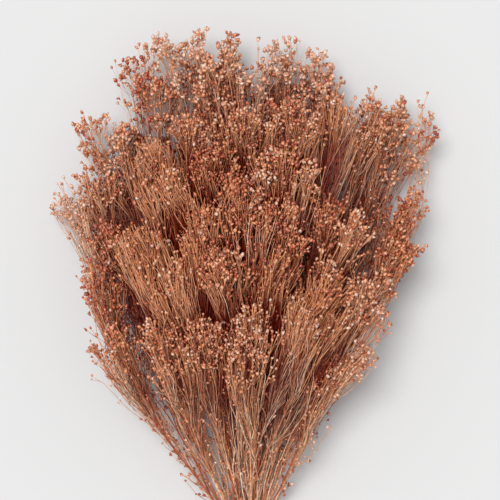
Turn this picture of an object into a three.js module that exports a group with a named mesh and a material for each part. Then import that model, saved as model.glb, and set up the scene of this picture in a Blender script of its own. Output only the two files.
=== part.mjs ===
// A bunch of dried, copper-dyed broom bloom, tied at the neck and lying on its side.
// Lengths are in millimetres. The origin is on the surface under the tie, +Y runs from the tie to the
// heads, +X is to the right seen from above, and +Z is up.
import * as THREE from 'three';

// The neck, where the stems run side by side through the tie
const STEM_RADIUS = 1.1;
const STEM_GAP = 0.55;
const NECK_HALF_LENGTH = 8;
const TIE_TURNS = 5;
const TWINE_THICKNESS = 2.4;
const TIE_CLEARANCE = 0.35;
const TIE_FACETS = 18;

// The cut ends behind the tie
const TAIL_LENGTH = 82;
const TAIL_UNEVENNESS = 11;
const TAIL_FLARE = 0.75;
const TAIL_RISE = 3;

// The fan in front of the tie
const FAN_HALF_WIDTH = 185;
const SOFT_START = 14;
const BEND_ACROSS = 0.42;
const BEND_UP = 0.25;
const WOBBLE = 1.2;
const SORTING_DISTANCE = 90;
const TYPICAL_NECK_HEIGHT = 13;

// Branches, twigs and buds
const BRANCH_RADIUS = 0.62;
const TWIG_RADIUS = 0.5;
const PEDICEL_RADIUS = 0.42;
const TWIG_SPREAD = 28;
const BUD_RADIUS = 1.9;
const BUD_LENGTH = 4.4;
const LEAST_RISE = 0.08;
const MOST_SKEW = 0.16;
const SHORTEST_SIDE_SHOOT = 14;
const WIDEST_FORK = Math.cos(THREE.MathUtils.degToRad(36));
const NARROW_CREST = 14;
const CREST_THICKNESS = 11;
const CLEARANCE = 0.5;
const CLEARANCE_IN_A_SPRAY = 0.2;
const TRIES = 300;

// Each tier is a layer of sprays from the surface upwards: the height of its tips at mid-width, how many
// branches and twigs a spray has, and for each spray how far its tip is to the right and in front of the
// tie, half its crest's width, and the crest's depth.
const TIERS = {
  under: { height: 8, branches: 4, twigs: 3, sprays: [
    [-86, 214, 22, 44], [-30, 246, 22, 46], [32, 238, 22, 46], [85, 212, 20, 42],
  ] },
  keel: { height: 24, branches: 4, twigs: 2, sprays: [
    [-106, 300, 18, 44], [-54, 342, 20, 44], [-2, 352, 20, 44], [50, 338, 20, 44], [102, 296, 18, 44],
    [-24, 388, 18, 44], [28, 382, 18, 44],
  ] },
  crown: { height: 42, branches: 5, twigs: 4, sprays: [
    [-88, 413, 16, 52], [-66, 421, 17, 56], [-39, 426, 15, 56], [-16, 421, 9, 40],
    [9, 418, 18, 52], [34, 420, 18, 52], [57, 412, 12, 48],
  ] },
  upper: { height: 55, branches: 5, twigs: 4, sprays: [
    [-132, 360, 14, 48], [-102, 350, 18, 44], [-28, 404, 20, 52], [76, 387, 12, 44],
    [102, 379, 18, 46], [125, 371, 10, 50], [147, 376, 13, 72],
  ] },
  shoulder: { height: 69, branches: 5, twigs: 4, sprays: [
    [-152, 302, 13, 44], [-124, 312, 18, 44], [-78, 340, 19, 40], [-46, 356, 20, 44],
    [-6, 367, 20, 44], [34, 367, 21, 40], [76, 371, 20, 42], [110, 358, 16, 44],
  ] },
  middle: { height: 82, branches: 5, twigs: 4, sprays: [
    [-114, 272, 18, 46], [-66, 316, 18, 40], [-24, 332, 20, 42], [30, 332, 22, 36],
    [66, 292, 20, 40], [132, 300, 13, 50],
  ] },
  breast: { height: 92, branches: 5, twigs: 4, sprays: [
    [-88, 270, 19, 42], [-44, 290, 18, 38], [-8, 304, 20, 38], [32, 286, 18, 38],
    [84, 278, 15, 38], [122, 262, 18, 44],
  ] },
  front: { height: 99, branches: 5, twigs: 4, sprays: [
    [-126, 240, 14, 44], [-66, 246, 19, 40], [-26, 252, 19, 38], [20, 250, 19, 38],
    [64, 240, 19, 38], [108, 232, 18, 40],
  ] },
  skirt: { height: 105, branches: 5, twigs: 4, sprays: [
    [-110, 190, 17, 48], [-74, 194, 18, 44], [-36, 194, 19, 42], [4, 206, 18, 40],
    [42, 214, 19, 38], [78, 206, 17, 38], [96, 172, 12, 40],
  ] },
};

// Copper-dyed plant and plain twine
const stemMaterial = new THREE.MeshStandardMaterial({ color: 0xb0704c, roughness: 0.62, metalness: 0 });
const tieMaterial = new THREE.MeshStandardMaterial({ color: 0xa98b62, roughness: 0.9, metalness: 0 });

const UP = new THREE.Vector3(0, 0, 1);

// Numbers from 0 to 1 that are the same in every run
function seededRandom(seed) {
  let state = seed >>> 0;
  return () => {
    state = (state + 0x6d2b79f5) >>> 0;
    let t = Math.imul(state ^ (state >>> 15), state | 1);
    t ^= t + Math.imul(t ^ (t >>> 7), t | 61);
    return ((t ^ (t >>> 14)) >>> 0) / 4294967296;
  };
}

// The sprays with their tips in space. A tier sinks towards both edges of the fan.
function spraysFromTiers() {
  return Object.entries(TIERS).flatMap(([tier, { height, branches, twigs, sprays: rows }]) =>
    rows.map(([x, y, halfWidth, depth], i) => {
      const tip = new THREE.Vector3(x, y, height * Math.sqrt(1 - (x / FAN_HALF_WIDTH) ** 2));
      const narrower = halfWidth < NARROW_CREST ? 1 : 0;
      return { name: `spray_${tier}_${i + 1}`, tip, halfWidth, depth, branches: branches - narrower, twigs };
    }));
}

// Places for the stems in the neck: the points of a hexagonal packing that are nearest to its middle
function neckSlots(count) {
  const pitch = 2 * STEM_RADIUS + STEM_GAP;
  const slots = [];
  for (let row = -6; row <= 6; row++) {
    for (let column = -6; column <= 6; column++) {
      const x = (column + (row % 2 ? 0.5 : 0) - 0.25) * pitch;
      slots.push({ row, x, z: (row * pitch * Math.sqrt(3)) / 2 });
    }
  }
  const fromMiddle = ({ x, z }) => x * x + (z + 0.1) * (z + 0.1);
  return slots.sort((a, b) => fromMiddle(a) - fromMiddle(b)).slice(0, count);
}

// Distance along the fan that starts with no slope, so that stems leave the neck in a curve
function softly(distance) {
  return Math.hypot(distance, SOFT_START) - SOFT_START;
}

// From 0 to 1 over the stem's length, steeper at first by the share bend
function swing(share, bend) {
  return (1 + bend) * share - bend * share * share;
}

// Gives each spray its slot in the neck, so that the stems fan out in order and never cross: row by row
// from the lowest, and in a row from left to right
function fillNeck(sprays) {
  const slots = neckSlots(sprays.length);
  const rows = [...new Set(slots.map(({ row }) => row))].sort((a, b) => a - b);
  const share = ({ tip }) => softly(SORTING_DISTANCE) / softly(tip.y);
  const height = (spray) => (spray.tip.z - TYPICAL_NECK_HEIGHT) * swing(share(spray), BEND_UP);
  const sideways = (spray) => spray.tip.x * swing(share(spray), BEND_ACROSS);
  const rising = [...sprays].sort((a, b) => height(a) - height(b));
  for (const row of rows) {
    const rowSlots = slots.filter((slot) => slot.row === row).sort((a, b) => a.x - b.x);
    const rowSprays = rising.splice(0, rowSlots.length).sort((a, b) => sideways(a) - sideways(b));
    rowSprays.forEach((spray, i) => { spray.neck = rowSlots[i]; });
  }
}

const sprays = spraysFromTiers();
fillNeck(sprays);
const BUNDLE_RADIUS = Math.max(...sprays.map(({ neck }) => Math.hypot(neck.x, neck.z))) + STEM_RADIUS;
const FACET_SHARE = Math.cos(Math.PI / TIE_FACETS);
const TIE_INNER_RADIUS = (BUNDLE_RADIUS + TIE_CLEARANCE) / FACET_SHARE;
const TIE_OUTER_RADIUS = TIE_INNER_RADIUS + TWINE_THICKNESS;
const NECK_HEIGHT = TIE_OUTER_RADIUS * FACET_SHARE;

// The middle line of a spray's stem at a distance y in front of the tie
function stemPoint({ neck, tip, index }, y) {
  const z = NECK_HEIGHT + neck.z;
  if (y < -NECK_HALF_LENGTH) {
    const back = ((-NECK_HALF_LENGTH - y) / TAIL_LENGTH) ** 2;
    return new THREE.Vector3(neck.x * (1 + TAIL_FLARE * back), y, z + (0.35 * neck.z + TAIL_RISE) * back);
  }
  if (y <= NECK_HALF_LENGTH) return new THREE.Vector3(neck.x, y, z);
  const share = softly(y - NECK_HALF_LENGTH) / softly(tip.y - NECK_HALF_LENGTH);
  const wave = WOBBLE * share * Math.sin(2.4 * index + 5 * share);
  const x = neck.x + (tip.x - neck.x) * swing(share, BEND_ACROSS) + wave;
  return new THREE.Vector3(x, y, z + (tip.z - z) * swing(share, BEND_UP));
}

// The directions along, across and above a shoot at a point of its path
function axesAt(path, i, up) {
  const along = path[i + 1].clone().sub(path[Math.max(i - 1, 0)]).normalize();
  const across = along.clone().cross(up).normalize();
  return { along, across, above: across.clone().cross(along) };
}

// A shoot has a ring of corners at each point of its path, and ends in the apex of a bud. A side shoot's
// first ring is its foot on the parent.
function makeShoot({ path, radii, sides, firstAngle, up, foot, spray }) {
  const rings = path.slice(0, -1).map((point, i) => {
    if (i === 0 && foot) return foot.corners;
    const { across, above } = axesAt(path, i, up);
    return Array.from({ length: sides }, (_, k) => {
      const angle = firstAngle + (2 * Math.PI * k) / sides;
      return point.clone()
        .addScaledVector(across, radii[i] * Math.cos(angle))
        .addScaledVector(above, radii[i] * Math.sin(angle));
    });
  });
  return { path, radii, rings, foot, spray, sideShoots: [] };
}

// A bud with its apex at a point: where it joins its stalk, its widest place and its apex
function budPath(apex, along) {
  return [-BUD_LENGTH, -0.5 * BUD_LENGTH, 0].map((back) => apex.clone().addScaledVector(along, back));
}

// The stem from its cut end to the bud at its tip
function makeStem(spray) {
  const cut = -TAIL_LENGTH + TAIL_UNEVENNESS * Math.sin(1.9 * spray.index);
  const along = spray.tip.clone().sub(stemPoint(spray, spray.tip.y - 20)).normalize();
  const bud = budPath(spray.tip, along);
  const reach = bud[0].y - NECK_HALF_LENGTH;
  const stations = [0, 0.07, 0.2, 0.42, 0.7].map((share) => NECK_HALF_LENGTH + share * reach);
  const stalk = [cut, -NECK_HALF_LENGTH, ...stations].map((y) => stemPoint(spray, y));
  const taper = [1, 1, 1, 1, 0.95, 0.88, 0.8].map((share) => share * STEM_RADIUS);
  return makeShoot({
    path: [...stalk, ...bud],
    radii: [...taper, PEDICEL_RADIUS, BUD_RADIUS, 0],
    sides: 4,
    firstAngle: Math.PI / 4,
    up: UP,
    spray,
  });
}

// The plane of a facet between four corners, going round from its low end
function facetPlane([a, b, c, d]) {
  const normal = c.clone().sub(a).cross(d.clone().sub(b)).normalize();
  const along = b.clone().add(c).sub(a).sub(d).projectOnPlane(normal).normalize();
  const across = normal.clone().cross(along);
  return { normal, along, across, flat: (point) => new THREE.Vector2(point.dot(along), point.dot(across)) };
}

// Whether flat points keep a margin to all sides of a flat convex outline
function areInside(points, outline, margin) {
  return outline.every((corner, i) => {
    const side = outline[(i + 1) % outline.length].clone().sub(corner).normalize();
    return points.every((point) => side.cross(point.clone().sub(corner)) > margin);
  });
}

// The foot of a side shoot: a triangle drawn out along the parent's facet that faces the shoot's way.
// There is none where it would not fit on that facet.
function makeFoot(parent, segment, share, apex, radius) {
  const low = parent.rings[segment];
  const high = parent.rings[segment + 1];
  const [from, to] = parent.path.slice(segment, segment + 2);
  const way = apex.clone().sub(from.clone().lerp(to, share)).normalize();
  const facets = low.map((corner, side) => {
    const next = (side + 1) % low.length;
    const outline = [corner, high[side], high[next], low[next]];
    return { side, outline, ...facetPlane(outline) };
  });
  const facet = facets.reduce((best, one) => (way.dot(one.normal) > way.dot(best.normal) ? one : best));
  const [a, b, c, d] = facet.outline;
  const root = a.clone().add(d).multiplyScalar(0.5).lerp(b.clone().add(c).multiplyScalar(0.5), share);
  const width = a.clone().lerp(b, share).sub(d.clone().lerp(c, share)).length();
  const stretch = radius / Math.max(0.22, way.dot(facet.normal));
  const corners = [90, 210, 330].map(THREE.MathUtils.degToRad).map((angle) => root.clone()
    .addScaledVector(facet.across, -Math.min(radius, 0.42 * width) * Math.cos(angle))
    .addScaledVector(facet.along, -stretch * Math.sin(angle)));
  const isOnFacet = areInside(corners.map(facet.flat), facet.outline.map(facet.flat), 0.04);
  const isFree = parent.sideShoots.every(({ foot }) => foot.segment !== segment || foot.side !== facet.side
    || foot.root.distanceTo(root) > foot.stretch + stretch + 0.4);
  const isLeavingWell = way.dot(facet.normal) > LEAST_RISE && Math.abs(way.dot(facet.across)) < MOST_SKEW;
  if (!isOnFacet || !isFree || !isLeavingWell) return null;
  return { root, corners, segment, stretch, side: facet.side, along: facet.along, normal: facet.normal };
}

// A side shoot from a place on its parent to a bud's apex. It leaves at an angle and then straightens up.
function makeSideShoot(parent, segment, share, apex, radius) {
  const foot = makeFoot(parent, segment, share, apex, radius);
  if (!foot) return null;
  const way = apex.clone().sub(foot.root);
  const isStraggling = way.length() < SHORTEST_SIDE_SHOOT || way.dot(foot.along) < WIDEST_FORK * way.length();
  if (isStraggling) return null;
  const heading = way.clone().normalize().add(foot.along).normalize();
  if (apex.z < 2 * BUD_RADIUS) heading.setZ(0).normalize();
  const bud = budPath(apex, heading);
  const sideways = way.clone().addScaledVector(foot.along, -way.dot(foot.along));
  const middle = foot.root.clone().lerp(bud[0], 0.33).addScaledVector(sideways, 0.15);
  middle.z = Math.max(middle.z, radius);
  return makeShoot({
    path: [foot.root, middle, ...bud],
    radii: [radius, (radius + PEDICEL_RADIUS) / 2, PEDICEL_RADIUS, BUD_RADIUS, 0],
    sides: 3,
    firstAngle: Math.PI / 2,
    up: foot.normal,
    foot,
    spray: parent.spray,
  });
}

// The straight pieces that a shoot is made of, for testing clearance
function piecesOf(shoot) {
  const { path, radii } = shoot;
  const piece = (a, b, radius) => ({
    a, b, radius, shoot, middle: a.clone().lerp(b, 0.5), reach: a.distanceTo(b) / 2 + radius,
  });
  const stalk = path.slice(1, -2).map((b, i) => piece(path[i], b, radii[i]));
  const [start, , apex] = path.slice(-3);
  const belly = piece(start.clone().lerp(apex, 0.45), start.clone().lerp(apex, 0.55), BUD_RADIUS);
  return [...stalk, belly, piece(start, apex, 0.5 * BUD_RADIUS)];
}

// The shortest distance between two straight pieces, each from a to b
function distanceBetween(one, other) {
  const u = one.b.clone().sub(one.a);
  const v = other.b.clone().sub(other.a);
  const w = one.a.clone().sub(other.a);
  const uu = u.dot(u);
  const uv = u.dot(v);
  const vv = v.dot(v);
  const uw = u.dot(w);
  const vw = v.dot(w);
  const denominator = uu * vv - uv * uv;
  let s = denominator > 1e-9 ? THREE.MathUtils.clamp((uv * vw - vv * uw) / denominator, 0, 1) : 0;
  const t = THREE.MathUtils.clamp((uv * s + vw) / vv, 0, 1);
  s = THREE.MathUtils.clamp((uv * t - uw) / uu, 0, 1);
  return w.addScaledVector(u, s).addScaledVector(v, -t).length();
}

// Whether two pieces keep their distance
function isClearOf(piece, other) {
  const room = piece.shoot.spray === other.shoot.spray ? CLEARANCE_IN_A_SPRAY : CLEARANCE;
  if (piece.middle.distanceTo(other.middle) > piece.reach + other.reach + room) return true;
  return distanceBetween(piece, other) > piece.radius + other.radius + room;
}

// Adds the first of several tried side shoots that is clear of everything else
function grow(parent, taken, trySideShoot) {
  for (let attempt = 0; attempt < TRIES; attempt++) {
    const made = trySideShoot();
    if (!made) continue;
    const pieces = piecesOf(made);
    const isClear = pieces.every((piece, i) =>
      taken.every((other) => (i === 0 && other.shoot === parent) || isClearOf(piece, other)));
    if (isClear) {
      parent.sideShoots.push(made);
      taken.push(...pieces);
      return made;
    }
  }
  return null;
}

// A point of a spray's crest: across and thick run from -1 to 1, and deep from 0 at the top to 1
function crestPoint(spray, { across, thick, deep }) {
  const axes = axesAt([stemPoint(spray, spray.tip.y - spray.depth), spray.tip], 0, UP);
  const point = spray.tip.clone()
    .addScaledVector(axes.along, -spray.depth * (deep + 0.3 * across * across))
    .addScaledVector(axes.across, across * spray.halfWidth)
    .addScaledVector(axes.above, thick * CREST_THICKNESS);
  point.z = Math.max(point.z, BUD_RADIUS);
  return point;
}

// The part of the stem that holds a height y, as a segment and the share of its length
function placeOnStem(stem, y) {
  const segment = stem.path.findIndex((point, i) => i > 0 && point.y > y) - 1;
  const [start, end] = stem.path.slice(segment, segment + 2);
  return { segment, share: (y - start.y) / (end.y - start.y) };
}

// The branches of a spray, spread evenly over its crest, and on most of them a twig lower down
function growSpray(stem, taken) {
  const { spray } = stem;
  const random = seededRandom(101 + spray.index);
  for (let b = 0; b < spray.branches; b++) {
    const middle = (2 * b + 1) / spray.branches - 1;
    const side = b % 2 ? 1 : -1;
    const branch = grow(stem, taken, () => {
      const apex = crestPoint(spray, {
        across: middle + 0.4 * (random() - 0.5),
        thick: side * (0.2 + 0.8 * random()),
        deep: 0.05 + 0.4 * random(),
      });
      const sideways = apex.distanceTo(stemPoint(spray, apex.y));
      const y = Math.max(0.3 * spray.tip.y, apex.y - 20 - 20 * random() - 2 * sideways);
      const { segment, share } = placeOnStem(stem, y);
      return makeSideShoot(stem, segment, share, apex, BRANCH_RADIUS);
    });
    if (!branch || (b + spray.index) % spray.branches >= spray.twigs) continue;
    grow(branch, taken, () => {
      const aside = new THREE.Vector3(random() - 0.5, 0, random() - 0.5).multiplyScalar(TWIG_SPREAD);
      const apex = branch.path.at(-1).clone().add(aside);
      apex.addScaledVector(branch.foot.along, -spray.depth * (0.1 + 0.6 * random()));
      apex.z = Math.max(apex.z, BUD_RADIUS);
      return makeSideShoot(branch, 1, 0.03 + 0.65 * random(), apex, TWIG_RADIUS);
    });
  }
}

// Fills a facet of a shoot between its four corners, round the feet that stand on it
function fillFacet({ vertices, triangles }, corners, feet) {
  if (!feet.length) {
    const [a, b, c, d] = corners;
    triangles.push(a, b, c, a, c, d);
    return;
  }
  const plane = facetPlane(corners.map((id) => vertices[id]));
  const flat = (id) => plane.flat(vertices[id]);
  const ids = [...corners, ...feet.flat()];
  const faces = THREE.ShapeUtils.triangulateShape(corners.map(flat), feet.map((foot) => foot.map(flat)));
  triangles.push(...faces.flat().map((i) => ids[i]));
}

// Adds a shoot and all that grows from it to a body, and returns the corners of its first ring
function addShoot(body, { path, rings, foot, sideShoots }) {
  const ids = rings.map((ring) => ring.map((corner) => body.vertices.push(corner) - 1));
  const apex = body.vertices.push(path.at(-1)) - 1;
  const feet = sideShoots.map((shoot) => ({ ...shoot.foot, corners: addShoot(body, shoot) }));
  const sides = rings[0].length;
  for (let side = 0; side < sides; side++) {
    const next = (side + 1) % sides;
    for (let i = 0; i + 1 < ids.length; i++) {
      const corners = [ids[i][side], ids[i + 1][side], ids[i + 1][next], ids[i][next]];
      const onFacet = feet.filter((one) => one.segment === i && one.side === side);
      fillFacet(body, corners, onFacet.map((one) => one.corners));
    }
    body.triangles.push(ids.at(-1)[side], apex, ids.at(-1)[next]);
  }
  if (!foot) {
    for (let k = 2; k < sides; k++) body.triangles.push(ids[0][0], ids[0][k - 1], ids[0][k]);
  }
  return ids[0];
}

function sprayMesh(stem) {
  const body = { vertices: [], triangles: [] };
  addShoot(body, stem);
  const geometry = new THREE.BufferGeometry().setFromPoints(body.vertices).setIndex(body.triangles);
  const mesh = new THREE.Mesh(geometry, stemMaterial);
  mesh.name = stem.spray.name;
  return mesh;
}

// The tie: turns of twine wound close together, as one ring with a flat under each turn
function tieMesh() {
  const half = (TIE_TURNS * TWINE_THICKNESS) / 2;
  const profile = [new THREE.Vector2(TIE_INNER_RADIUS, -half)];
  for (let turn = 0; turn < TIE_TURNS; turn++) {
    const start = -half + turn * TWINE_THICKNESS;
    if (turn > 0) profile.push(new THREE.Vector2(TIE_OUTER_RADIUS - 0.3 * TWINE_THICKNESS, start));
    profile.push(new THREE.Vector2(TIE_OUTER_RADIUS, start + 0.27 * TWINE_THICKNESS));
    profile.push(new THREE.Vector2(TIE_OUTER_RADIUS, start + 0.73 * TWINE_THICKNESS));
  }
  profile.push(new THREE.Vector2(TIE_INNER_RADIUS, half), profile[0].clone());
  const geometry = new THREE.LatheGeometry(profile, TIE_FACETS, Math.PI / TIE_FACETS);
  const mesh = new THREE.Mesh(geometry.translate(0, 0, NECK_HEIGHT), tieMaterial);
  mesh.name = 'tie';
  return mesh;
}

// The bunch: all stems first, so that no branch grows through a stem
sprays.forEach((spray, index) => { spray.index = index; });
const stems = sprays.map(makeStem);
const taken = stems.flatMap(piecesOf);
stems.forEach((stem) => growSpray(stem, taken));
const bunch = new THREE.Group();
bunch.add(...stems.map(sprayMesh), tieMesh());

export default bunch;
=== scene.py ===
"""A bunch of dried, copper-dyed broom bloom, tied at the neck and lying on its side.

Lengths are in millimetres until a mesh is made. The origin is on the surface under the tie, +Y runs from
the tie to the heads, +X is to the right seen from above, and +Z is up.
"""

import math
from typing import NamedTuple

import bpy
import numpy as np
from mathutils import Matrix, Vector


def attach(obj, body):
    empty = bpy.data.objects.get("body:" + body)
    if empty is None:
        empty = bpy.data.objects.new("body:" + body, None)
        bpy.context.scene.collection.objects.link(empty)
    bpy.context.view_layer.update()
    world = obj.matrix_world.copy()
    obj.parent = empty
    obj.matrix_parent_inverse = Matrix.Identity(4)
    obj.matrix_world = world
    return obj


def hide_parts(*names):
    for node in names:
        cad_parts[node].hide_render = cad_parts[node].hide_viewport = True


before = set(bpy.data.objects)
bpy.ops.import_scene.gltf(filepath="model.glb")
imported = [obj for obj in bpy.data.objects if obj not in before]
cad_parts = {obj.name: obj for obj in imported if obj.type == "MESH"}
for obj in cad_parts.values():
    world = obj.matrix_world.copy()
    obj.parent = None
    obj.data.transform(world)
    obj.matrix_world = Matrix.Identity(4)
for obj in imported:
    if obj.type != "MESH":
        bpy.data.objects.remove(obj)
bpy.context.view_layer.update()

MM = 0.001

# The neck, the tail and the fan, as in the solids
STEM_RADIUS = 1.1
STEM_GAP = 0.55
NECK_HALF_LENGTH = 8
SLOT_ROWS = 6
SLOTS_LEFT = 0.25
SLOTS_DOWN = 0.1
TIE_TURNS = 5
TWINE_THICKNESS = 2.4
TIE_CLEARANCE = 0.35
TIE_FACETS = 18
TAIL_LENGTH = 82
TAIL_UNEVENNESS = 11
TAIL_UNEVENNESS_STEP = 1.9
TAIL_FLARE = 0.75
TAIL_FLARE_UP = 0.35
TAIL_RISE = 3
FAN_HALF_WIDTH = 185
SOFT_START = 14
BEND_ACROSS = 0.42
BEND_UP = 0.25
WOBBLE = 1.2
WOBBLE_STEP = 2.4
WOBBLE_SPAN = 5
SORTING_DISTANCE = 90
TYPICAL_NECK_HEIGHT = 13


class Tier(NamedTuple):
    """A layer of sprays.

    height is that of its tips at mid-width, and ray_share is the share of the rays that grow there.
    bud_share times PEDICEL_SHARE is the share of the pedicels that grow. size is that of the buds and
    shoots, looseness is how far apart the shoots of a crest end, and tone is how much paler than usual they
    are. Each spray has how far its tip is to the right and in front of the tie, half its crest's width, and
    the crest's depth.
    """

    height: float
    ray_share: float
    bud_share: float
    size: float
    looseness: float
    tone: float
    sprays: list


# The tiers from the surface upwards
TIERS = {
    "under": Tier(height=8, ray_share=0.9, bud_share=0.1, size=1.3, looseness=1, tone=0, sprays=[
        (-86, 214, 22, 44), (-30, 246, 22, 46), (32, 238, 22, 46), (85, 212, 20, 42),
    ]),
    "keel": Tier(height=24, ray_share=0.8, bud_share=0.2, size=1.25, looseness=1, tone=0, sprays=[
        (-106, 300, 18, 44), (-54, 342, 20, 44), (-2, 352, 20, 44), (50, 338, 20, 44),
        (102, 296, 18, 44), (-24, 388, 18, 44), (28, 382, 18, 44),
    ]),
    "crown": Tier(height=42, ray_share=0.38, bud_share=1.2, size=1.25, looseness=1.45, tone=0.14, sprays=[
        (-88, 413, 16, 52), (-66, 421, 17, 56), (-39, 426, 15, 56), (-16, 421, 9, 40),
        (9, 418, 18, 52), (34, 420, 18, 52), (57, 412, 12, 48),
    ]),
    "upper": Tier(height=55, ray_share=0.44, bud_share=1.05, size=1.18, looseness=1.3, tone=0.06, sprays=[
        (-132, 360, 16, 48), (-102, 350, 18, 44), (-28, 404, 20, 52), (76, 387, 12, 44),
        (102, 379, 18, 46), (125, 371, 10, 50), (147, 376, 17, 72),
    ]),
    "shoulder": Tier(height=69, ray_share=0.95, bud_share=0.45, size=0.95, looseness=1, tone=0.1, sprays=[
        (-152, 302, 17, 44), (-124, 312, 18, 44), (-78, 340, 19, 40), (-46, 356, 20, 44),
        (-6, 367, 20, 44), (34, 367, 21, 40), (76, 371, 20, 42), (110, 358, 16, 44),
    ]),
    "middle": Tier(height=82, ray_share=0.85, bud_share=0.55, size=1.08, looseness=1, tone=-0.14, sprays=[
        (-114, 272, 18, 46), (-66, 316, 18, 40), (-24, 332, 20, 42), (30, 332, 22, 36),
        (66, 292, 20, 40), (132, 300, 13, 50),
    ]),
    "breast": Tier(height=92, ray_share=0.85, bud_share=0.6, size=1.1, looseness=1, tone=-0.13, sprays=[
        (-88, 270, 19, 42), (-44, 290, 18, 38), (-8, 304, 20, 38), (32, 286, 18, 38),
        (84, 278, 15, 38), (122, 262, 18, 44),
    ]),
    "front": Tier(height=99, ray_share=0.8, bud_share=0.6, size=1.08, looseness=1.1, tone=0.02, sprays=[
        (-126, 240, 14, 44), (-66, 246, 19, 40), (-26, 252, 19, 38), (20, 250, 19, 38),
        (64, 240, 19, 38), (108, 232, 18, 40),
    ]),
    "skirt": Tier(height=105, ray_share=0.8, bud_share=0.6, size=1, looseness=1.2, tone=0.12, sprays=[
        (-110, 190, 17, 48), (-74, 194, 18, 44), (-36, 194, 19, 42), (4, 206, 18, 40),
        (42, 214, 19, 38), (78, 206, 17, 38), (96, 172, 12, 40),
    ]),
}

# Sprays with many fine, bare shoots and few buds, as tier and numbers in it
FIBROUS = {"shoulder": (3, 7), "middle": (2,), "breast": (1, 2), "front": (2, 4, 5), "skirt": (5, 6)}
FIBROUS_BUD_SHARE = 0.35

# How stout a tier's shoots are beside its buds, where they are finer than elsewhere
SLENDER = {"crown": 0.6, "upper": 0.68}

# The fan thins out towards both edges. A crest is looser or denser than its tier's by chance.
EDGE_THINNING = 0.7
EDGE_THINNING_POWER = 1.5
LOOSENESS_RANGE = (0.75, 1.45)

# Tones beside the tier's: one for fibrous sprays, a deeper one for the low left and for the right edge, and
# a random one for each spray
FIBROUS_TONE = 0.05
LOW_LEFT_TONE = 2.3
LOW_LEFT_UNTIL = 300
RIGHT_EDGE_TONE = -0.14
RIGHT_EDGE_FROM = 90
RIGHT_EDGE_UNTIL = 310
TONE_SPREAD = 0.14
TONE_LIMITS = (-0.25, 0.14)

# How a stem bends, and how far it is tucked in towards the middle. On the right the tuck lies nearer the
# neck in a long spray than in a short one.
STEM_PLACES = 24
STEM_BEND = 2.8
RIGHT_TUCK = 25
RIGHT_TUCK_REACHES = (180, 380)
RIGHT_TUCK_POWERS = (1.3, 0.5)
LEFT_TUCK = 9
LEFT_TUCK_POWER = 2.5
CREST_LOOK_BACK = 4

# How many shoots fork from each parent, the shares of the strays and the pedicels that grow, and how small
# the sprigs and the strays are
LIMBS = 4
RAYS = 12
TWIGS = 3
FIBRES = 7
PEDICELS = 3
SPRIGS = 8
SPRIG_PEDICELS = 1
STRAYS = 1
STRAY_PEDICELS = 5
STRAY_SHARE = 0.3
PEDICEL_SHARE = 0.78
SPRIG_SIZE = 0.85
STRAY_SIZE = 0.8

# How a shoot forks and runs
CREST_THICKNESS = 13
NEAREST_DRIFT_SQUARED = 0.04
SINK_POWER = 1.3
MOST_SINK = 0.9
LEAST_FORK = 0.03
KINK = 0.6
KINK_RISE = 6
ARCH = 0.028
SNAKE = 0.014
LEAST_HEIGHT = 2.9
SQUASHED_HEIGHT = 0.1


class Level(NamedTuple):
    """How a set of shoots is shaped: its radii at the foot and the tip, its sides and its middle shade."""

    foot_radius: float
    tip_radius: float
    sides: int
    shade: float


LEVELS = {
    "stems": Level(0.8, 0.3, 6, 0.64),
    "limbs": Level(0.6, 0.3, 4, 0.64),
    "rays": Level(0.38, 0.26, 3, 0.47),
    "twigs": Level(0.29, 0.22, 3, 0.47),
    "pedicels": Level(0.21, 0.18, 3, 0.47),
}
NECK_STEM_RADIUS = 0.9
NECK_STEM_TAPER = 8
TAPER_POWER = 0.7
STOUTNESS_RANGE = (0.75, 1.3)
SHADE_SPREAD = 0.34

# The buds: ovals or open cups. Heights and widths are shares of the bud's length and radius.
BUD_RADIUS = 1.26
BUD_LENGTH = 3.4
BUD_SIZES = (0.6, 0.85, 1.3)
BUD_SIDES = 5
BUD_STRETCH = (0.85, 1.2)
OVAL_HEIGHTS = (-0.12, 0.24, 0.62, 1)
OVAL_WIDTHS = (0.86, 0.94)
OPEN_SHARE = 0.5
CUP_HEIGHTS = (-0.12, 0.3, 0.84, 0.42)
CUP_WIDTHS = (0.78, 1.02)
CUP_RADIUS = 1.12
CUP_LENGTH = 0.85
CUP_NOTCH = 0.3
ROUGHNESS = 0.14
NOD = 0.4
LEAST_BUD_HEIGHT = 2
BUD_REACH_DOWN = 6
BUD_SHADE = 0.45
BUD_SHADE_SPREAD = 0.27
PLACES_ON_BUD = np.array([0] + [0.3] * BUD_SIDES + [0.7] * BUD_SIDES + [1])

rng = np.random.default_rng(3)


def unit(vectors):
    """The directions of an array of vectors."""
    return vectors / np.linalg.norm(vectors, axis=-1, keepdims=True)


# The stems

def tone_beside_tier(x, y, fibrous):
    """How much paler than its tier's a spray's tone is."""
    tone = LOW_LEFT_TONE * min(x, 0) / FAN_HALF_WIDTH * max(1 - y / LOW_LEFT_UNTIL, 0)
    if x > RIGHT_EDGE_FROM and y < RIGHT_EDGE_UNTIL:
        tone += RIGHT_EDGE_TONE
    return tone + FIBROUS_TONE * fibrous


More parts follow.
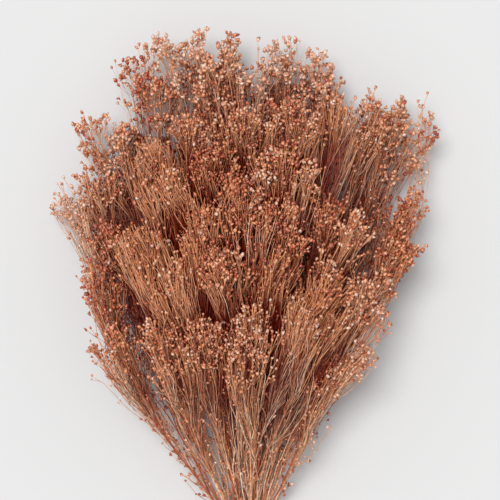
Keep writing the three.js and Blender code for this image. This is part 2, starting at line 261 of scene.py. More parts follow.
def make_sprays():
    """The sprays with their tips in space. A tier sinks towards both edges of the fan."""
    sprays = []
    for tier_name, tier in TIERS.items():
        for number, (x, y, half_width, depth) in enumerate(tier.sprays, 1):
            edge = abs(x / FAN_HALF_WIDTH)
            fibrous = number in FIBROUS.get(tier_name, ())
            sprays.append({
                "index": len(sprays),
                "name": f"spray_{tier_name}_{number}",
                "tip": np.array([x, y, tier.height * math.sqrt(1 - edge ** 2)], float),
                "half_width": half_width,
                "depth": depth,
                "ray_share": tier.ray_share * (1 - EDGE_THINNING * edge ** EDGE_THINNING_POWER),
                "bud_share": tier.bud_share * (FIBROUS_BUD_SHARE if fibrous else 1),
                "fibrous": fibrous,
                "size": tier.size,
                "slender": SLENDER.get(tier_name, 1),
                "looseness": tier.looseness * rng.uniform(*LOOSENESS_RANGE),
                "tone": tier.tone + tone_beside_tier(x, y, fibrous),
            })
    return sprays


def neck_slots(count):
    """Places for the stems in the neck: the middlemost points of a hexagonal packing."""
    pitch = 2 * STEM_RADIUS + STEM_GAP
    slots = []
    for row in range(-SLOT_ROWS, SLOT_ROWS + 1):
        for column in range(-SLOT_ROWS, SLOT_ROWS + 1):
            x = (column + (0.5 if row % 2 else 0) - SLOTS_LEFT) * pitch
            slots.append((row, x, row * pitch * math.sqrt(3) / 2))
    return sorted(slots, key=lambda slot: slot[1] ** 2 + (slot[2] + SLOTS_DOWN) ** 2)[:count]


def softly(distance):
    """Distance along the fan that starts with no slope, so that stems leave the neck in a curve."""
    return np.hypot(distance, SOFT_START) - SOFT_START


def swing(share, bend):
    """From 0 to 1 over the stem's length, steeper at first by the share bend."""
    return (1 + bend) * share - bend * share * share


def fill_neck(sprays):
    """Gives each spray its slot in the neck, row by row from the lowest, and from left to right."""
    def share(spray):
        return softly(SORTING_DISTANCE) / softly(spray["tip"][1])

    def height(spray):
        return (spray["tip"][2] - TYPICAL_NECK_HEIGHT) * swing(share(spray), BEND_UP)

    def sideways(spray):
        return spray["tip"][0] * swing(share(spray), BEND_ACROSS)

    slots = neck_slots(len(sprays))
    rising = sorted(sprays, key=height)
    for row in sorted({slot[0] for slot in slots}):
        row_slots = sorted((slot for slot in slots if slot[0] == row), key=lambda slot: slot[1])
        row_sprays = sorted(rising[:len(row_slots)], key=sideways)
        rising = rising[len(row_slots):]
        for spray, (_, x, z) in zip(row_sprays, row_slots):
            spray["neck"] = (x, z)


sprays = make_sprays()
fill_neck(sprays)
BUNDLE_RADIUS = max(math.hypot(*spray["neck"]) for spray in sprays) + STEM_RADIUS
FACET_SHARE = math.cos(math.pi / TIE_FACETS)
TIE_INNER_RADIUS = (BUNDLE_RADIUS + TIE_CLEARANCE) / FACET_SHARE
TIE_OUTER_RADIUS = TIE_INNER_RADIUS + TWINE_THICKNESS
NECK_HEIGHT = TIE_OUTER_RADIUS * FACET_SHARE


def stem_points(spray, y):
    """The middle line of a spray's stem at distances y in front of the tie."""
    y = np.asarray(y, float)
    neck_x, neck_z = spray["neck"]
    tip_x, tip_y, tip_z = spray["tip"]
    z = NECK_HEIGHT + neck_z
    back = (np.maximum(-NECK_HALF_LENGTH - y, 0) / TAIL_LENGTH) ** 2
    share = softly(np.maximum(y - NECK_HALF_LENGTH, 0)) / softly(tip_y - NECK_HALF_LENGTH)
    wave = WOBBLE * share * np.sin(WOBBLE_STEP * spray["index"] + WOBBLE_SPAN * share)
    return np.stack([
        neck_x * (1 + TAIL_FLARE * back) + (tip_x - neck_x) * swing(share, BEND_ACROSS) + wave,
        y,
        z + (TAIL_FLARE_UP * neck_z + TAIL_RISE) * back + (tip_z - z) * swing(share, BEND_UP),
    ], axis=-1)


# The shoots. A set of shoots holds arrays with a row for each: its path, the number of its spray, the
# direction of that spray's crest, its tone and its size.

def points_on(paths, places):
    """Points of each path at its places from 0 at the start to 1 at the end. places is (paths, many)."""
    last = paths.shape[1] - 1
    low = np.clip((places * last).astype(int), 0, last - 1)
    rows = np.arange(len(paths))[:, None]
    start, end = paths[rows, low], paths[rows, low + 1]
    return start + (end - start) * (places * last - low)[..., None]


def with_places(shoots, count):
    """The same shoots with that many places on each path."""
    places = np.tile(np.linspace(0, 1, count), (len(shoots["path"]), 1))
    return {**shoots, "path": points_on(shoots["path"], places)}


def sideways_of(axis):
    """Two directions at right angles to each axis: level, and upwards."""
    across = unit(np.cross(axis, (0, 0, 1)))
    return across, np.cross(across, axis)


def of_sprays(shoots, key):
    """A value of the spray of each shoot."""
    return np.array([sprays[i][key] for i in shoots["spray"]], float)


def spans(shoots):
    """How far each shoot's tip is from its foot."""
    return np.linalg.norm(shoots["path"][:, -1] - shoots["path"][:, 0], axis=-1)


def stem_shoots():
    """Each spray's stem in front of the neck, a little bent, and tucked in towards the middle."""
    y = [np.linspace(NECK_HALF_LENGTH, spray["tip"][1], STEM_PLACES) for spray in sprays]
    paths = np.array([stem_points(spray, at) for spray, at in zip(sprays, y)])
    t = np.linspace(0, 1, STEM_PLACES)
    arch, snake = rng.normal(0, STEM_BEND, (2, len(sprays), 1, 3))
    paths += arch * np.sin(math.pi * t)[:, None] + snake * np.sin(2 * math.pi * t)[:, None]
    tips = np.array([spray["tip"] for spray in sprays])
    sideways = tips[:, 0] / FAN_HALF_WIDTH
    tuck = sideways * np.where(sideways > 0, RIGHT_TUCK, LEFT_TUCK)
    right_power = np.interp(tips[:, 1], RIGHT_TUCK_REACHES, RIGHT_TUCK_POWERS)
    power = np.where(sideways > 0, right_power, LEFT_TUCK_POWER)
    paths[..., 0] -= tuck[:, None] * np.sin(math.pi * t ** power[:, None])
    tones = np.clip(rng.normal(0, TONE_SPREAD, len(sprays)), *TONE_LIMITS)
    return {
        "path": paths,
        "spray": np.arange(len(sprays)),
        "crest": unit(paths[:, -1] - paths[:, -CREST_LOOK_BACK]),
        "tone": tones + np.array([spray["tone"] for spray in sprays]),
        "size": np.array([spray["size"] for spray in sprays], float),
    }


def grow(parents, count, sink, length, width, thickness, dome, bow, tone, places):
    """Side shoots that fork from each parent, run along with it and drift away from it.

    A shoot ends behind its parent's end by a random sink, and by dome more at the rim. Its length is random
    too. Both are pairs of least and most. width and thickness are the most that it drifts sideways and
    upwards, and bow is the share of the drift that is left for the end. tone is the spread of the tones.
    """
    many = len(parents["path"]) * count
    paths = np.repeat(parents["path"], count, axis=0)
    axis = np.repeat(parents["crest"], count, axis=0)
    least_sink, most_sink, shortest, longest, width, thickness, dome = (
        np.broadcast_to(value, many // count).repeat(count)
        for value in (*sink, *length, width, thickness, dome))
    whole = np.linalg.norm(paths[:, -1] - paths[:, 0], axis=-1)
    angle = rng.uniform(0, 2 * math.pi, many)
    distance = np.sqrt(rng.uniform(NEAREST_DRIFT_SQUARED, 1, many))
    step = (np.tile(np.arange(count), many // count) + rng.random(many)) / count
    behind = least_sink + (most_sink - least_sink) * step ** SINK_POWER + dome * distance ** 2
    behind = np.minimum(behind, MOST_SINK * whole)
    stretch = shortest + (longest - shortest) * rng.random(many)
    until = 1 - np.maximum(behind, 0) / whole
    fork = np.maximum(until - stretch / whole, LEAST_FORK)
    across, above = sideways_of(axis)
    drift = (across * (width * distance * np.cos(angle))[:, None]
             + above * (thickness * distance * np.sin(angle))[:, None]
             - axis * np.minimum(behind, 0)[:, None])
    t = np.linspace(0, 1, places)
    base = points_on(paths, fork[:, None] + (until - fork)[:, None] * t)
    kinks = rng.normal(0, KINK, (many, places, 3)) * np.minimum(1, KINK_RISE * t * (1 - t))[:, None]
    own_length = (until - fork) * whole
    arch = (ARCH * own_length)[:, None] * rng.normal(0, 1, (many, 3))
    snake = (SNAKE * own_length)[:, None] * rng.normal(0, 1, (many, 3))
    path = (base + drift[:, None] * ((1 - bow) * t + bow * t * t)[:, None]
            + arch[:, None] * np.sin(math.pi * t)[:, None]
            + snake[:, None] * np.sin(2 * math.pi * t)[:, None] + kinks)
    path[..., 2] = np.maximum(path[..., 2], LEAST_HEIGHT)
    return {
        "path": path,
        "spray": np.repeat(parents["spray"], count),
        "crest": axis,
        "tone": np.repeat(parents["tone"], count) + rng.normal(0, tone, many),
        "size": np.repeat(parents["size"], count),
    }


def thin(shoots, share):
    """A random part of the shoots."""
    kept = rng.random(len(shoots["path"])) < share
    return {name: values[kept] for name, values in shoots.items()}


def join(*sets):
    """One set of shoots out of several with paths of the same number of places."""
    return {key: np.concatenate([shoots[key] for shoots in sets]) for key in sets[0]}


def grow_limbs(stems):
    """The main forks of the stems."""
    half_widths, depths = of_sprays(stems, "half_width"), of_sprays(stems, "depth")
    loose, span = of_sprays(stems, "looseness"), spans(stems)
    return grow(stems, LIMBS, sink=(-0.02 * depths, 0.45 * loose * depths),
                length=(0.35 * span, 0.85 * span), width=0.95 * half_widths, thickness=CREST_THICKNESS,
                dome=0.2 * depths, bow=0.25, tone=0.15, places=20)


def grow_rays(leaders):
    """The long thin shoots that make up a crest."""
    half_widths, depths = of_sprays(leaders, "half_width"), of_sprays(leaders, "depth")
    loose = of_sprays(leaders, "looseness")
    rays = grow(leaders, RAYS, sink=(-0.06 * depths, 0.4 * loose * depths),
                length=(0.9 * depths, 2.8 * depths), width=(0.4 + 0.16 * loose) * half_widths,
                thickness=0.6 * CREST_THICKNESS, dome=0.1 * depths, bow=0.25, tone=0.09, places=10)
    return thin(rays, of_sprays(rays, "ray_share"))


def grow_twigs(rays):
    """The forked ends of the rays."""
    loose = of_sprays(rays, "looseness")
    return grow(rays, TWIGS, sink=(-4, 2 + 7 * loose), length=(24, 66), width=6 + 2 * loose,
                thickness=6 + 2 * loose, dome=2, bow=0.3, tone=0.08, places=4)


def grow_fibres(rays):
    """The fine, bare shoots of the fibrous sprays."""
    return grow(thin(rays, of_sprays(rays, "fibrous")), FIBRES, sink=(0, 24), length=(30, 100), width=9,
                thickness=9, dome=2, bow=0.2, tone=0.1, places=4)


def grow_pedicels(rays, twigs):
    """The short stalks of the buds of the crests."""
    on_rays = grow(rays, PEDICELS, sink=(-1, 4), length=(5, 9), width=4.6, thickness=4.6, dome=0,
                   bow=0.3, tone=0.08, places=2)
    on_twigs = grow(twigs, PEDICELS, sink=(-2, 5), length=(4, 9), width=4.6, thickness=4.6, dome=0,
                    bow=0.3, tone=0.08, places=2)
    pedicels = join(on_rays, on_twigs)
    return thin(pedicels, PEDICEL_SHARE * of_sprays(pedicels, "bud_share"))


def grow_strays(leaders):
    """Single shoots that stand out from the crests."""
    strays = grow(leaders, STRAYS, sink=(0, 1.2 * of_sprays(leaders, "depth")), length=(70, 150), width=26,
                  thickness=10, dome=0, bow=-0.2, tone=0.12, places=10)
    return thin(strays, STRAY_SHARE)


def grow_sprigs(leaders):
    """Small side shoots all along the stems and limbs."""
    span = spans(leaders)
    return grow(leaders, SPRIGS, sink=(0.2 * span, 0.94 * span), length=(10, 44), width=9, thickness=8,
                dome=0, bow=0.1, tone=0.14, places=4)


def grow_side_pedicels(sprigs, strays):
    """The short stalks of the buds below the crests."""
    return join(grow(sprigs, SPRIG_PEDICELS, sink=(2, 14), length=(4, 8), width=4, thickness=4, dome=0,
                     bow=0.3, tone=0.08, places=2),
                grow(strays, STRAY_PEDICELS, sink=(0, 70), length=(5, 12), width=5, thickness=5, dome=0,
                     bow=0.3, tone=0.08, places=2))


def grow_all():
    """The sets of shoots by level, each level forked from those before it."""
    stems = stem_shoots()
    limbs = grow_limbs(stems)
    leaders = join(with_places(stems, limbs["path"].shape[1]), limbs)
    rays = grow_rays(leaders)
    twigs = grow_twigs(rays)
    fibres = grow_fibres(rays)
    pedicels = grow_pedicels(rays, twigs)
    strays = grow_strays(leaders)
    sprigs = grow_sprigs(leaders)
    sprigs["size"] *= SPRIG_SIZE
    strays["size"] *= STRAY_SIZE
    side_pedicels = grow_side_pedicels(sprigs, strays)
    return {
        "stems": stems,
        "limbs": limbs,
        "rays": join(rays, strays),
        "twigs": join(twigs, sprigs, fibres),
        "pedicels": join(pedicels, side_pedicels),
    }


# Meshes

def tubes(points, radii, sides, along=None):
    """Corners and faces of tapering tubes along paths, closed at both ends. points is (tubes, places, 3)."""
    count, places = points.shape[:2]
    if along is None:
        along = unit(np.gradient(points, axis=1))
    across, above = sideways_of(along)
    angle = 2 * math.pi * (np.arange(sides) + 0.5) / sides
    corners = (points[:, :, None] + radii[:, :, None, None]
               * (across[:, :, None] * np.cos(angle)[:, None] + above[:, :, None] * np.sin(angle)[:, None]))
    ring = np.arange(sides)
    after = (ring + 1) % sides
    low = np.arange(places - 1)[:, None] * sides
    quads = np.stack([low + ring, low + sides + ring, low + sides + after, low + after], axis=-1)
    ends = np.stack([ring, (places - 1) * sides + ring[::-1]])
    return corners.reshape(count, places * sides, 3), [quads.reshape(-1, 4), ends]


def buds(tips, directions, sizes, is_open):
    """Corners and faces of buds on the tips of shoots: closed ovals, or cups where open."""
    count, sides = len(tips), BUD_SIDES
    across, above = sideways_of(directions)
    turn = rng.uniform(0, 2 * math.pi, count)[:, None]
    angle = turn + 2 * math.pi * np.arange(sides) / sides
    ring = (across[:, None] * np.cos(angle)[..., None] + above[:, None] * np.sin(angle)[..., None])
    stretch = rng.uniform(*BUD_STRETCH, count)
    radius = (BUD_RADIUS * sizes / np.sqrt(stretch) * np.where(is_open, CUP_RADIUS, 1))[:, None]
    length = (BUD_LENGTH * sizes * stretch * np.where(is_open, CUP_LENGTH, 1))[:, None]
    heights = np.where(is_open[:, None], CUP_HEIGHTS, OVAL_HEIGHTS) * length
    widths = np.where(is_open[:, None], CUP_WIDTHS, OVAL_WIDTHS) * radius
    on_axis = [tips + directions * heights[:, i, None] for i in range(4)]
    rings = [on_axis[i + 1][:, None] + ring * widths[:, i, None, None] for i in range(2)]
    rings = [ring + (ROUGHNESS * radius)[..., None] * rng.normal(0, 1, ring.shape) for ring in rings]
    notches = rng.uniform(-CUP_NOTCH, CUP_NOTCH, (count, sides)) * length * is_open[:, None]
    rings[1] += directions[:, None] * notches[..., None]
    corners = np.concatenate([on_axis[0][:, None], *rings, on_axis[3][:, None]], axis=1)
    side = np.arange(sides)
    after = (side + 1) % sides
    foot = np.stack([np.zeros(sides, int), 1 + side, 1 + after], -1)
    walls = np.stack([1 + side, 1 + sides + side, 1 + sides + after, 1 + after], -1)
    top = np.stack([1 + sides + side, np.full(sides, 1 + 2 * sides), 1 + sides + after], -1)
    return corners, [walls, foot, top]


def shape_level(name, shoots):
    """The tubes and the buds of a set of shoots, each with its spray's number and its shade."""
    level = LEVELS[name]
    paths = shoots["path"]
    count, places = paths.shape[:2]
    t = np.linspace(0, 1, places)
    stoutness = shoots["size"] * of_sprays(shoots, "slender")
    if name != "stems":
        stoutness *= rng.uniform(*STOUTNESS_RANGE, count)
    taper = (level.tip_radius - level.foot_radius) * t ** TAPER_POWER
    radii = stoutness[:, None] * (level.foot_radius + taper)
    if name == "stems":
        radii += (NECK_STEM_RADIUS - level.foot_radius) * np.maximum(1 - NECK_STEM_TAPER * t, 0)
    corners, faces = tubes(paths, radii, level.sides)
    nod = unit(unit(paths[:, -1] - paths[:, -2]) + rng.normal(0, NOD, (count, 3)))
    nod[:, 2] = np.maximum(nod[:, 2], (LEAST_BUD_HEIGHT - paths[:, -1, 2]) / BUD_REACH_DOWN)
    sizes = shoots["size"] * rng.triangular(*BUD_SIZES, count)
    budding = (rng.random(count) <= FIBROUS_BUD_SHARE) | (of_sprays(shoots, "fibrous") == 0)
    is_open = rng.random(count) < OPEN_SHARE
    bud_corners, bud_faces = buds(paths[budding, -1], nod[budding], sizes[budding], is_open[budding])
    shades = level.shade + shoots["tone"] + rng.normal(0, SHADE_SPREAD, count)
    bud_shades = BUD_SHADE + shoots["tone"] + rng.normal(0, BUD_SHADE_SPREAD, count)
    return {
        "spray": shoots["spray"],
        "corners": corners,
        "faces": faces,
        "shades": np.clip(shades, 0, 1),
        "places": np.repeat(t, level.sides),
        "bud_spray": shoots["spray"][budding],
        "bud_corners": bud_corners,
        "bud_faces": bud_faces,
        "bud_shades": np.clip(bud_shades, 0, 1)[budding],
    }


# The plant materials paint shade into the colour of places that lie deep by this measure
class Shelter:
    """How deep a place lies inside the bunch: the share of the ways out of it that plant closes.

    The space is cut into cells of the size CELL, and a way out passes the cells nearer than REACH.
    """

    CELL = 7
    REACH = 11
    EMPTY = 0.01
    DENSE_PERCENTILE = 85
    CLOSING = 0.5

    def __init__(self, cloud):
        margin = self.REACH + 1
        self.low = cloud.min(axis=0) - margin * self.CELL
        shape = tuple(((cloud.max(axis=0) - self.low) / self.CELL).astype(int) + 1 + margin)
        cells = ((cloud - self.low) / self.CELL).astype(int)
        counts = np.bincount(np.ravel_multi_index(cells.T, shape), minlength=math.prod(shape))
        density = counts.reshape(shape).astype(float)
        for axis in (0, 1, 2):
            density = (np.roll(density, 1, axis) + 2 * density + np.roll(density, -1, axis)) / 4
        density /= np.percentile(density[density > self.EMPTY], self.DENSE_PERCENTILE)
        density[:, :, :margin] = 1
        ways = [np.array(step) - 1 for step in np.ndindex(3, 3, 3) if step != (1, 1, 1)]
        open_share = np.zeros(shape)
        for way in ways:
            passed = sum(np.roll(density, tuple(-stride * way), (0, 1, 2))
                         for stride in range(1, self.REACH))
            closed = self.CLOSING * np.linalg.norm(way) * (passed + density / 2)
            open_share += np.exp(-closed) / len(ways)
        self.grid = 1 - open_share

    def at(self, points):
        """From about 0 in the open to 1 deep inside."""
        place = np.maximum((points - self.low) / self.CELL - 0.5, 0)
        corner = np.minimum(place.astype(int), np.array(self.grid.shape) - 2)
        part = place - corner
        value = np.zeros(len(points))
        for step in np.ndindex(2, 2, 2):
            weight = np.prod(np.where(step, part, 1 - part), axis=-1)
            value += weight * self.grid[tuple((corner + step).T)]
        return value


class Body:
    """Collects the corners and faces of one mesh."""

    def __init__(self, shelter):
        self.shelter = shelter
        self.corners, self.faces, self.slots = [], [], []
        self.attributes = {"shade": [], "reach": [], "shelter": []}
        self.total = 0

    def add(self, corners, faces, slots, shades=0, places=0):
        """Adds alike parts, each with its shade, and places for the corners of one, from root to tip."""
        count, size = corners.shape[:2]
        corners[..., 2] = np.maximum(corners[..., 2], SQUASHED_HEIGHT)
        starts = self.total + size * np.arange(count)
        for kind, slot in zip(faces, slots):
            self.faces.append((kind[None] + starts[:, None, None]).reshape(-1, kind.shape[1]))
            self.slots.append(np.full(len(kind) * count, slot))
        self.corners.append(corners.reshape(-1, 3))
        self.attributes["shade"].append(np.repeat(np.broadcast_to(shades, count), size))
        self.attributes["reach"].append(np.tile(np.broadcast_to(places, size), count))
        # How deep each corner lies inside the bunch, for the painted shade
        self.attributes["shelter"].append(self.shelter.at(corners.reshape(-1, 3)))
        self.total += count * size

    def mesh(self, name, materials):
        """The mesh, with a material for each slot."""
        mesh = bpy.data.meshes.new(name)
        mesh.vertices.add(self.total)
        mesh.vertices.foreach_set("co", (np.concatenate(self.corners) * MM).ravel())
        sizes = np.concatenate([np.full(len(kind), kind.shape[1]) for kind in self.faces])
        loops = np.concatenate([kind.ravel() for kind in self.faces])
        mesh.loops.add(len(loops))
        mesh.polygons.add(len(sizes))
        mesh.loops.foreach_set("vertex_index", loops)
        mesh.polygons.foreach_set("loop_start", np.concatenate([[0], np.cumsum(sizes)[:-1]]))
        mesh.polygons.foreach_set("material_index", np.concatenate(self.slots))
        for key, values in self.attributes.items():
            attribute = mesh.attributes.new(key, "FLOAT", "POINT")
            attribute.data.foreach_set("value", np.concatenate(values).astype(np.float32))
        mesh.shade_smooth()
        mesh.update(calc_edges=True)
        for material in materials:
            mesh.materials.append(material)
        return mesh


# Materials

NOISE_RANGE = (0.3, 0.7)
# Painted shade deep inside the bunch: the tint that darkens and reddens the colour, and the depths where it
# starts and is full
PAINTED_SHADE_TINT = (0.32, 0.035, 0.005)
PAINTED_SHADE_FROM = 0.66
PAINTED_SHADE_TO = 0.96
MOTTLE_DETAIL = 3
RELIEF_DEPTH = 0.3


class Nodes:
    """The nodes of one material. Most methods add a node and return the socket of its result."""

    def __init__(self, name, roughness, specular):
        self.material = bpy.data.materials.new(name)
        self.material.use_nodes = True
        self.nodes, self.links = self.material.node_tree.nodes, self.material.node_tree.links
        self.shader = self.nodes["Principled BSDF"]
        self.fill(self.shader, {"Roughness": roughness, "Specular IOR Level": specular})

    def fill(self, node, inputs):
        """Gives a node its inputs: a link from a socket of another node, or else a value."""
        for name, value in inputs.items():
            if isinstance(value, bpy.types.NodeSocket):
                self.links.new(value, node.inputs[name])
            else:
                node.inputs[name].default_value = value

    def add(self, kind, inputs, **settings):
        """A new node of a kind, with its inputs and settings."""
        node = self.nodes.new("ShaderNode" + kind)
        for name, value in settings.items():
            setattr(node, name, value)
        self.fill(node, inputs)
        return node

    def place(self):
        return self.add("TexCoord", {}).outputs["Object"]

    def attribute(self, name):
        return self.add("Attribute", {}, attribute_name=name).outputs["Fac"]

    def noise(self, place, scale, detail):
        return self.add("TexNoise", {"Vector": place, "Scale": scale, "Detail": detail}).outputs["Fac"]

    def from_range(self, value, low, high, to_low=0, to_high=1, interpolation="LINEAR"):
        """A value with the range from low to high moved to another range."""
        inputs = {"Value": value, "From Min": low, "From Max": high, "To Min": to_low, "To Max": to_high}
        return self.add("MapRange", inputs, interpolation_type=interpolation).outputs["Result"]

    def ramp(self, value, stops):
        """A colour for a value, between stops of place and linear colour."""
        node = self.add("ValToRGB", {"Fac": value})
        elements = node.color_ramp.elements
        while len(elements) < len(stops):
            elements.new(0.5)
        for element, (place, colour) in zip(elements, stops):
            element.position = place
            element.color = (*colour, 1)
        return node.outputs["Color"]

    def mix(self, share, first, second, data_type="RGBA", blend_type="MIX"):
        inputs = {"Factor": share, "A": first, "B": second}
        return self.add("Mix", inputs, data_type=data_type, blend_type=blend_type).outputs["Result"]

    def finish(self, colour, height, strength, depth):
        """The material with a colour, and a relief of a strength and a depth."""
        relief = self.add("Bump", {"Height": height, "Strength": strength, "Distance": depth * MM})
        self.fill(self.shader, {"Base Color": colour, "Normal": relief.outputs["Normal"]})
        return self.material


def plant_material(name, dye, tip_colour, tip_from, roughness, specular, grain, unevenness, relief):
    """Dyed plant: each shoot has its own shade of the dye, mottled, and another colour towards its tip.

    Deep inside the bunch the colour is darkened and reddened: painted shade. grain is how fine the mottling
    is.
    """
    nodes = Nodes(name, roughness, specular)
    shade = nodes.ramp(nodes.attribute("shade"), dye)
    mottle = nodes.noise(nodes.place(), grain, MOTTLE_DETAIL)
    brightness = nodes.from_range(mottle, *NOISE_RANGE, 1 - unevenness, 1 + 0.5 * unevenness)
    mottled = nodes.add("VectorMath", {0: shade, "Scale": brightness}, operation="SCALE").outputs["Vector"]
    # Painted shade: the colour darkens and reddens towards the depths of the bunch
    painted_shade_share = nodes.from_range(nodes.attribute("shelter"), PAINTED_SHADE_FROM, PAINTED_SHADE_TO, interpolation="SMOOTHSTEP")
    with_painted_shade = nodes.mix(painted_shade_share, mottled, (*PAINTED_SHADE_TINT, 1), blend_type="MULTIPLY")
    towards_tip = nodes.from_range(nodes.attribute("reach"), tip_from, 1)
    tipped = nodes.mix(towards_tip, with_painted_shade, (*tip_colour, 1))
    return nodes.finish(tipped, mottle, relief, RELIEF_DEPTH)


def jute_material():
    """Twisted jute: dull straw colour, with fine fibres that run round the strands."""
    nodes = Nodes("jute_twine", roughness=0.85, specular=0.25)
    place = nodes.place()
    stretched = nodes.add("Mapping", {"Vector": place, "Scale": (1, 0.35, 1)}).outputs["Vector"]
    fibres = nodes.noise(stretched, scale=2600, detail=4)
    blotches = nodes.noise(place, scale=160, detail=2)
    mixed = nodes.mix(0.4, fibres, blotches, data_type="FLOAT")
    colour = nodes.ramp(mixed, [
        (0.3, (0.16, 0.095, 0.045)), (0.5, (0.40, 0.27, 0.145)), (0.7, (0.60, 0.45, 0.27)),
    ])
    return nodes.finish(colour, fibres, strength=0.6, depth=0.2)


stem_material = plant_material(
    "copper_stem",
    dye=[(0, (0.47, 0.08, 0.022)), (0.5, (0.87, 0.42, 0.21)), (1, (0.90, 0.64, 0.46))],
    tip_colour=(0.78, 0.31, 0.13), tip_from=0.6,
    roughness=0.36, specular=0.7, grain=300, unevenness=0.5, relief=0.3)
bud_material = plant_material(
    "copper_bud",
    dye=[(0, (0.43, 0.062, 0.018)), (0.4, (0.85, 0.345, 0.158)),
         (0.75, (0.87, 0.50, 0.32)), (1, (0.86, 0.62, 0.49))],
    tip_colour=(0.60, 0.19, 0.085), tip_from=0.6,
    roughness=0.3, specular=1, grain=800, unevenness=0.4, relief=0.5)
pith_material = plant_material(
    "pale_pith",
    dye=[(0, (0.52, 0.33, 0.18)), (0.5, (0.66, 0.46, 0.28)), (1, (0.78, 0.60, 0.40))],
    tip_colour=(0.5, 0.3, 0.16), tip_from=0.9,
    roughness=0.8, specular=0.5, grain=1500, unevenness=0.3, relief=0.6)
twine_material = jute_material()


# The sprays

STEM_SLOT, BUD_SLOT, PITH_SLOT = range(3)
TAIL_SIDES = 8
TAIL_PLACES = 6
NECK_PLACES = 3
TAIL_SHADE = 0.34
TAIL_SHADE_SPREAD = 0.15
TAIL_REACH = 0.3
PITH_RIM = 0.6
PITH_FLOOR = 0.52
PITH_DEPTH = 0.25


def add_tail(body, spray):
    """The stem from the cut end to the front of the neck. The pith at the cut is a little sunk."""
    cut = -TAIL_LENGTH + TAIL_UNEVENNESS * math.sin(TAIL_UNEVENNESS_STEP * spray["index"])
    y = np.concatenate([
        [cut + PITH_DEPTH, cut, cut],
        np.linspace(cut, -NECK_HALF_LENGTH, TAIL_PLACES)[1:-1],
        np.linspace(-NECK_HALF_LENGTH, NECK_HALF_LENGTH, NECK_PLACES),
    ])
    points = stem_points(spray, y)
    along = unit(stem_points(spray, y + 1) - stem_points(spray, y - 1))
    radii = NECK_STEM_RADIUS * np.array([PITH_FLOOR, PITH_RIM] + [1] * (len(y) - 2))
    corners, (walls, ends) = tubes(points[None], radii[None], TAIL_SIDES, along[None])
    pith_walls = 2 * TAIL_SIDES
    shade = np.clip(rng.normal(TAIL_SHADE, TAIL_SHADE_SPREAD, 1), 0, 1)
    body.add(corners, [walls[:pith_walls], walls[pith_walls:], ends[:1], ends[1:]],
             [PITH_SLOT, STEM_SLOT, PITH_SLOT, STEM_SLOT],
             shade, np.repeat(np.linspace(0, TAIL_REACH, len(y)), TAIL_SIDES))


shoots_by_level = grow_all()
parts = [shape_level(name, shoots) for name, shoots in shoots_by_level.items()]
# How deep each place lies inside the bunch, which the materials turn into painted shade
shelter = Shelter(np.concatenate(
    [part["bud_corners"][:, 0] for part in parts]
    + [shoots_by_level[name]["path"].reshape(-1, 3) for name in ("rays", "twigs")]))

for spray in sprays:
    body = Body(shelter)
    add_tail(body, spray)
    for part in parts:
        mine = part["spray"] == spray["index"]
        body.add(part["corners"][mine], part["faces"], [STEM_SLOT] * 2, part["shades"][mine],
                 part["places"])
        mine = part["bud_spray"] == spray["index"]
        body.add(part["bud_corners"][mine], part["bud_faces"], [BUD_SLOT] * 3, part["bud_shades"][mine],
                 PLACES_ON_BUD)
    mesh = body.mesh(spray["name"], [stem_material, bud_material, pith_material])
    piece = bpy.data.objects.new("fine_" + spray["name"], mesh)
    bpy.context.scene.collection.objects.link(piece)
    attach(piece, "root")
    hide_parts(spray["name"])


# The tie

STRANDS = 3
STRAND_RADIUS = 0.56
STRAND_SIDES = 6
LAY = 7.5
TWINE_STEP = 0.9
TWINE_START = -0.6
TUCK_SHARE = 0.08
TUCK_DEPTH = 1.7
HAIRS = 260
HAIRLESS_PLACES = 4
HAIR_RADIUS = 0.05
HAIR_SIDES = 3
HAIR_PLACES = 4
HAIR_LENGTHS = (1, 3.4)
HAIR_SPREAD = 0.8
HAIR_LEAST_RISE = 0.5
HAIR_LEAST_HEIGHT = 0.1


def twine_strands():
    """The three strands of the twine, wound round the neck, with both ends tucked in among the stems."""
    coil_radius = NECK_HEIGHT - TWINE_THICKNESS / 2
    length = 2 * math.pi * coil_radius * TIE_TURNS
    turns = np.linspace(0, TIE_TURNS, int(length / TWINE_STEP))
    angle = 2 * math.pi * turns + TWINE_START
    to_end = np.minimum(turns, TIE_TURNS - turns) / TUCK_SHARE
    radius = coil_radius - TUCK_DEPTH * np.clip(1 - to_end, 0, 1) ** 2
    first = (1 - TIE_TURNS) / 2
    y = TWINE_THICKNESS * (first + np.clip(turns - 0.5, 0, TIE_TURNS - 1))
    centre = np.stack([radius * np.cos(angle), y, NECK_HEIGHT + radius * np.sin(angle)], axis=-1)
    outwards = np.stack([np.cos(angle), np.zeros_like(angle), np.sin(angle)], axis=-1)
    sideways = np.broadcast_to((0.0, 1.0, 0.0), outwards.shape)
    strands = []
    for strand in range(STRANDS):
        lay = 2 * math.pi * (turns * length / TIE_TURNS / LAY + strand / STRANDS)
        offset = (TWINE_THICKNESS / 2 - STRAND_RADIUS) * (
            outwards * np.cos(lay)[:, None] + sideways * np.sin(lay)[:, None])
        strands.append(centre + offset)
    return np.array(strands), outwards


def twine_hairs(strands, outwards):
    """Paths of the loose hairs that stand out from the strands, except at the ends of the twine."""
    roots = rng.integers(HAIRLESS_PLACES, strands.shape[1] - HAIRLESS_PLACES, HAIRS)
    which = rng.integers(0, STRANDS, HAIRS)
    start = strands[which, roots]
    flow = unit(strands[which, roots + 1] - start)
    away = unit(outwards[roots] + HAIR_SPREAD * rng.normal(0, 1, (HAIRS, 3)))
    rise = np.sum(away * outwards[roots], axis=-1)
    away += outwards[roots] * np.maximum(HAIR_LEAST_RISE - rise, 0)[:, None]
    length = rng.uniform(*HAIR_LENGTHS, HAIRS)[:, None, None]
    curl = rng.uniform(-1, 1, (HAIRS, 1, 1))
    t = np.linspace(0, 1, HAIR_PLACES)[:, None]
    hairs = start[:, None] + length * (away[:, None] * t + flow[:, None] * t * t * curl)
    hairs[..., 2] = np.maximum(hairs[..., 2], HAIR_LEAST_HEIGHT)
    return hairs


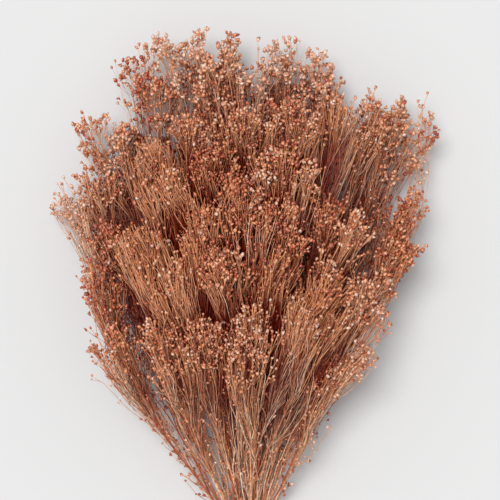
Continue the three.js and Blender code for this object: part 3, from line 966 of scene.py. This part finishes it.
def make_tie():
    """The twine: strands, and the loose hairs that stand out from them."""
    strands, outwards = twine_strands()
    hairs = twine_hairs(strands, outwards)
    body = Body(shelter)
    for paths, radius, sides in ((strands, STRAND_RADIUS, STRAND_SIDES), (hairs, HAIR_RADIUS, HAIR_SIDES)):
        corners, faces = tubes(paths, np.full(paths.shape[:2], radius), sides)
        body.add(corners, faces, [0, 0])
    piece = bpy.data.objects.new("twine", body.mesh("twine", [twine_material]))
    bpy.context.scene.collection.objects.link(piece)
    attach(piece, "root")
    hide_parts("tie")


make_tie()


# The floor, the light and the camera. The floor's size is in metres.

FLOOR_HALF_WIDTH = 20
FLOOR_COLOUR = (0.64, 0.64, 0.64, 1)
LIGHT_FROM = (-0.2, 0.2, 1)
LIGHT_ANGLE = 26
LIGHT_STRENGTH = 2.5
STUDIO_COLOUR = (1, 1, 1, 1)
STUDIO_STRENGTH = 0.56
VIEW_CENTRE = (2.4, 249.6)
VIEW_WIDTH = 400
VIEW_HEIGHT = 60
LENS = 150
SENSOR = 36


def make_floor():
    """A plain pale floor without gloss."""
    nodes = Nodes("pale_floor", roughness=1, specular=0)
    nodes.fill(nodes.shader, {"Base Color": FLOOR_COLOUR})
    mesh = bpy.data.meshes.new("floor")
    far = FLOOR_HALF_WIDTH
    mesh.from_pydata([(-far, -far, 0), (far, -far, 0), (far, far, 0), (-far, far, 0)], [], [(0, 1, 2, 3)])
    mesh.materials.append(nodes.material)
    floor = bpy.data.objects.new("floor", mesh)
    bpy.context.scene.collection.objects.link(floor)


def make_light():
    """A distant lamp as wide as its angle in degrees, and an even white studio round it."""
    light = bpy.data.lights.new("key", "SUN")
    light.angle = math.radians(LIGHT_ANGLE)
    light.energy = LIGHT_STRENGTH
    lamp = bpy.data.objects.new("key", light)
    lamp.rotation_mode = "QUATERNION"
    lamp.rotation_quaternion = Vector(LIGHT_FROM).to_track_quat("Z", "Y")
    lamp.location = LIGHT_FROM
    bpy.context.scene.collection.objects.link(lamp)
    world = bpy.data.worlds.new("studio")
    world.use_nodes = True
    background = world.node_tree.nodes["Background"]
    background.inputs["Color"].default_value = STUDIO_COLOUR
    background.inputs["Strength"].default_value = STUDIO_STRENGTH
    bpy.context.scene.world = world


def make_camera():
    """A camera that looks straight down and takes in the view's width at the view's height."""
    camera_data = bpy.data.cameras.new("camera")
    camera_data.lens = LENS
    camera_data.sensor_width = SENSOR
    camera = bpy.data.objects.new("camera", camera_data)
    above = VIEW_HEIGHT + VIEW_WIDTH * LENS / SENSOR
    camera.location = (VIEW_CENTRE[0] * MM, VIEW_CENTRE[1] * MM, above * MM)
    bpy.context.scene.collection.objects.link(camera)
    bpy.context.scene.camera = camera


make_floor()
make_light()
make_camera()
bpy.context.scene.view_settings.view_transform = "Standard"
